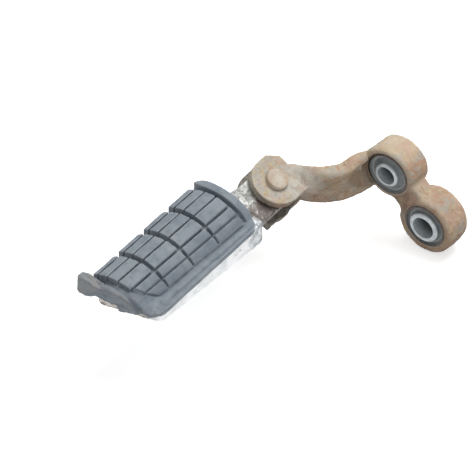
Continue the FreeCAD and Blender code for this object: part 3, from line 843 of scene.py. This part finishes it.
def shift_slots(pad):
    """Narrows the slots between the blocks and moves them along the arch to where the worn ones lie."""
    points = points_of(pad)
    x, y, z = from_pivot(points)
    angle = arch_angle(points)
    edges, moves = [SLOTS_FROM], [0.0]
    for middle, width, worn_middle, worn_width in SLOTS:
        for side in (-0.5, 0.5):
            edges.append(middle + side * width)
            moves.append(worn_middle + side * worn_width - edges[-1])
    step = np.interp(y, edges + [SLOTS_TO], moves + [0.0])
    step -= SLOT_SLANT * (x - FIRST_ROW) * fade(y, *SLANT_LEFT) * fade(y, *SLANT_RIGHT)
    tread = fade(x, INNER_LIP, INNER_LIP + 3.0) * fade(x, OUTER_LIP, OUTER_LIP - 2.0) * (z > 0.0)
    step *= fade(arch_radius(points), *SLOT_RADIUS) * tread
    points[:, 1] += step
    points[:, 2] -= step * np.tan(np.clip(angle, -1.0, 1.0))
    place_points(pad, points)


def ridge(distance, height, half_width):
    """Height of a soft ridge at a distance from its line."""
    return height * np.exp(-(distance / half_width) ** 2)


def line_depths(points):
    """Depth of the fine lines on the right slope and rim: row gaps, last slot, foot of the blocks, rim."""
    x, y, z = from_pivot(points)
    y = y + SLOT_SLANT * (x - FIRST_ROW)
    round_end = np.where(x > CORNER_X, np.hypot(x - CORNER_X, y - CORNER_Y) - CORNER_RADIUS, FAR_INSIDE)
    past_foot = np.maximum(y - FOOT_LINE, round_end)
    on_block = fade(past_foot, *BLOCK_EDGE)
    row = np.abs((x - ROW_GAP + 0.5 * ROW_PITCH) % ROW_PITCH - 0.5 * ROW_PITCH)
    gaps = ridge(row, *GAP_LINE) * fade(y, *GAP_ACROSS) * on_block * (x < LAST_GAP)
    slot = ridge(y - SLOTS[-1][2], *SLOT_LINE) * on_block
    foot = ridge(past_foot, *FOOT_GROOVE) * fade(y, *FOOT_ACROSS)
    rim = ridge(y - RIM_LINE_Y, *RIM_LINE) * fade(x, *RIM_LINE_END)
    tread = fade(x, INNER_LIP + 1.5, INNER_LIP + 3.5) * fade(x, OUTER_LIP - 1.5, OUTER_LIP - 3.5)
    tread *= (z > LINES_ABOVE) & (arch_radius(points) > LINES_RADIUS)
    return np.maximum.reduce([gaps, slot, foot, rim]) * tread


def carve_lines(pad):
    """Sinks the fine lines and raises the bead along the rim."""
    points = points_of(pad)
    x, y, z = from_pivot(points)
    bead = ridge(y + SLOT_SLANT * (x - FIRST_ROW) - RIM_BEAD_Y, *RIM_BEAD)
    bead *= fade(x, INNER_LIP + 1.5, INNER_LIP + 5.0) * fade(x, *RIM_BEAD_END) * (z > BEAD_ABOVE)
    sink = line_depths(points) - bead
    tilt = np.where(y < FOOT_LINE, arch_angle(points), 0.0)
    points[:, 1] -= sink * np.sin(tilt)
    points[:, 2] -= sink * np.cos(tilt)
    place_points(pad, points)


def settle_lips(pad):
    """Wears the inner lip flatter, and leaves the stub of the outer lip short, tall and deep."""
    points = points_of(pad)
    x, y, z = from_pivot(points)
    places, heights = zip(*LIP_WEAR)
    inner_lip = fade(x, INNER_LIP + 0.6, INNER_LIP - 0.1) * fade(z, *LIP_WEAR_ABOVE)
    points[:, 2] -= np.interp(y, places, heights) * inner_lip
    places, depths = zip(*STUB_UNDERSIDE)
    stub = fade(y, *STUB_ACROSS) * fade(x, OUTER_LIP, OUTER_LIP + 1.0)
    points[:, 2] += stub * STUB_RISE * fade(z, *STUB_RISE_ABOVE) * fade(y, *STUB_RISE_ACROSS)
    points[:, 2] -= stub * np.interp(y, places, depths) * fade(z, *STUB_SINK_BELOW)
    points[:, 0] -= STUB_SHORTENED * stub * np.maximum(x + PIVOT.x - LIP_START, 0.0)
    place_points(pad, points)


def groove_share(points):
    """1 on the groove floors between the blocks, 0 from a little above them."""
    x, y, _ = from_pivot(points)
    rise = np.hypot(points[:, 1] - ARCH_Y - GROOVE_SHIFT, points[:, 2] - ARCH_Z) - GROOVE_RADIUS
    below_tops = arch_radius(points) < BLOCK_RADIUS - GROOVE_SKIN
    tread = (x > INNER_LIP + 0.2) & (x < OUTER_LIP) & (y < GROOVE_SIDE) & below_tops
    return fade(rise, *GROOVE_RISE) * tread


def nose_share(points, start, above, below):
    """1 on the lower corner of the outer end, fading from start along the pad and from above to below."""
    x, y, z = from_pivot(points)
    return fade(x, start, NOSE_END) * fade(y, *NOSE_ACROSS) * fade(z, above, below)


def tear_out(pad, lumps):
    """Takes lumps out of the pad and removes them."""
    for lump in lumps:
        step = pad.modifiers.new("tear", "BOOLEAN")
        step.operation = "DIFFERENCE"
        step.solver = "EXACT"
        step.object = lump
    settle(pad)
    for lump in lumps:
        bpy.data.objects.remove(lump, do_unlink=True)


def make_pad():
    """The rubber pad: worn and torn, with narrow slots, fine lines and masks for its paint."""
    pad = copy_of("foot_pad", "worn_pad")
    tear_out(pad, [wear()] + [bite(*tear) for tear in TEARS])
    remesh(pad, PAD_VOXEL)
    points = points_of(pad)
    x = points[:, 0] - PIVOT.x
    lips = np.maximum(fade(x, OUTER_LIP - 0.4, OUTER_LIP + 0.6), fade(x, INNER_LIP + 0.4, INNER_LIP - 0.6))
    smooth(pad, NOSE_ROUNDS, np.maximum(nose_share(points, *SOFT_NOSE), LIP_SHARE * lips))
    smooth(pad, PAD_ROUNDS)
    shift_slots(pad)
    carve_lines(pad)
    settle_lips(pad)
    thin_out(pad, PAD_TRIANGLES)
    points = points_of(pad)
    x = points[:, 0] - PIVOT.x
    torn = fade(x, OUTER_LIP - 0.2, OUTER_LIP + 0.8) * fade(arch_radius(points), *TORN_RADIUS)
    nose = nose_share(points, *ROUGH_NOSE)
    # Painted shade: a mask over the groove floors and fine lines, stored as depth
    lines = np.clip(line_depths(points) / FULL_SHADE_LINE, 0.0, 1.0)
    depth = np.maximum(GROOVE_SHADE * groove_share(points), lines)
    roughen(pad, *TORN_ROUGHNESS, torn)
    roughen(pad, *NOSE_ROUGHNESS, nose)
    roughen(pad, *PAD_ROUGHNESS, np.ones(len(points)))
    store_cavity(pad, *PAD_CAVITY)
    store(pad, "depth", depth)
    store(pad, "torn", np.maximum(TORN_PAINT * torn, NOSE_PAINT * nose))
    dress(pad, "foot_pad", "peg", pad_rubber())


def make_spring():
    """A welded copy of the coil spring in the CAD node's place, painted dull steel with some rust."""
    spring = copy_of("return_spring", "twisting_spring")
    steel = dull_steel("spring_steel", rgb(120, 120, 120), rgb(88, 88, 88), rgb(110, 84, 66), 0.6)
    spring.data.materials.append(steel)
    spring.data.shade_smooth()
    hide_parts("return_spring")
    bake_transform(spring)


def paint_nodes():
    """Materials of the CAD nodes that keep their shape."""
    shell = dull_steel("bush_steel", rgb(96, 90, 86), rgb(66, 62, 60), rgb(112, 86, 68), 0.56)
    pin = pin_steel()
    screw = dull_steel("screw_steel", rgb(176, 176, 176), rgb(140, 140, 140), rgb(132, 104, 82), 0.62)
    looks = {
        "upper_bush_shell": shell,
        "upper_bush_rubber": bush_rubber("upper_rubber", UPPER_EYE),
        "upper_bush_sleeve": bush_sleeve("upper_sleeve", UPPER_EYE, UPPER_BORE),
        "lower_bush_shell": shell,
        "lower_bush_rubber": bush_rubber("lower_rubber", LOWER_EYE),
        "lower_bush_sleeve": bush_sleeve("lower_sleeve", LOWER_EYE, LOWER_BORE),
        "pivot_pin": pin, "pivot_washer": pin, "split_pin": pin,
        "pad_screws": screw, "pad_washers": screw, "pad_nuts": screw,
    }
    for node, material in looks.items():
        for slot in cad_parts[node].material_slots:
            slot.link = "OBJECT"
            slot.material = material


def make_floor():
    """White table top that keeps a faint shadow."""
    half = TABLE_HALF * MM
    mesh = bpy.data.meshes.new("table")
    corners = [(-half, -half, 0), (half, -half, 0), (half, half, 0), (-half, half, 0)]
    mesh.from_pydata(corners, [], [(0, 1, 2, 3)])
    floor = bpy.data.objects.new("table", mesh)
    floor.location.z = FLOOR_Z * MM
    bpy.context.scene.collection.objects.link(floor)
    p = Paint("table_white", 0.9)
    p.shader.inputs["Base Color"].default_value = (TABLE_GREY, TABLE_GREY, TABLE_GREY, 1.0)
    rays = p.node("ShaderNodeLightPath").outputs
    seen = p.math("MAXIMUM", rays["Is Camera Ray"], rays["Is Glossy Ray"])
    strength = p.math("MULTIPLY", seen, TABLE_GLOW)
    glow = p.node("ShaderNodeEmission", {"Color": WHITE, "Strength": strength})
    both = p.node("ShaderNodeAddShader", {0: p.shader.outputs["BSDF"], 1: glow.outputs["Emission"]})
    p.tree.links.new(both.outputs["Shader"], p.tree.nodes["Material Output"].inputs["Surface"])
    mesh.materials.append(p.material)


def make_light():
    """White surroundings and one wide soft lamp above, on the arm's side."""
    scene = bpy.context.scene
    scene.view_settings.view_transform = "Standard"
    world = bpy.data.worlds.new("studio")
    scene.world = world
    world.use_nodes = True
    tree = world.node_tree
    back = tree.nodes["Background"]
    back.inputs["Color"].default_value = WHITE
    path = tree.nodes.new("ShaderNodeLightPath")
    seen = tree.nodes.new("ShaderNodeMath")
    seen.operation = "MAXIMUM"
    tree.links.new(path.outputs["Is Camera Ray"], seen.inputs[0])
    tree.links.new(path.outputs["Is Glossy Ray"], seen.inputs[1])
    level = tree.nodes.new("ShaderNodeMapRange")
    level.inputs["To Min"].default_value = WORLD_LEVEL
    level.inputs["To Max"].default_value = 1.0
    tree.links.new(seen.outputs["Value"], level.inputs["Value"])
    tree.links.new(level.outputs["Result"], back.inputs["Strength"])
    lamp = bpy.data.lights.new("softbox", "AREA")
    lamp.shape = "DISK"
    lamp.size = LAMP_SIZE * MM
    lamp.energy = LAMP_POWER
    holder = bpy.data.objects.new("softbox", lamp)
    holder.visible_camera = False
    target = VIEW_TARGET * MM
    holder.location = target + LAMP_OFFSET * MM
    holder.rotation_euler = (target - holder.location).to_track_quat("-Z", "Y").to_euler()
    scene.collection.objects.link(holder)


def make_camera():
    """A far camera with a long lens, so that the view is nearly parallel."""
    away = VIEW_AWAY.normalized()
    right = (VIEW_RIGHT - VIEW_RIGHT.dot(away) * away).normalized()
    up = away.cross(right)
    turn = Matrix((right, up, away)).transposed().to_4x4()
    lens = bpy.data.cameras.new("view")
    lens.sensor_width = SENSOR_WIDTH
    lens.sensor_fit = "HORIZONTAL"
    lens.lens = SENSOR_WIDTH * VIEW_DISTANCE / VIEW_WIDTH
    lens.clip_end = VIEW_END * MM
    camera = bpy.data.objects.new("view", lens)
    camera.matrix_world = Matrix.Translation((VIEW_TARGET + away * VIEW_DISTANCE) * MM) @ turn
    bpy.context.scene.collection.objects.link(camera)
    bpy.context.scene.camera = camera


make_camera()
make_light()
make_floor()
paint_nodes()
make_arm()
make_body()
make_pad()
make_spring()
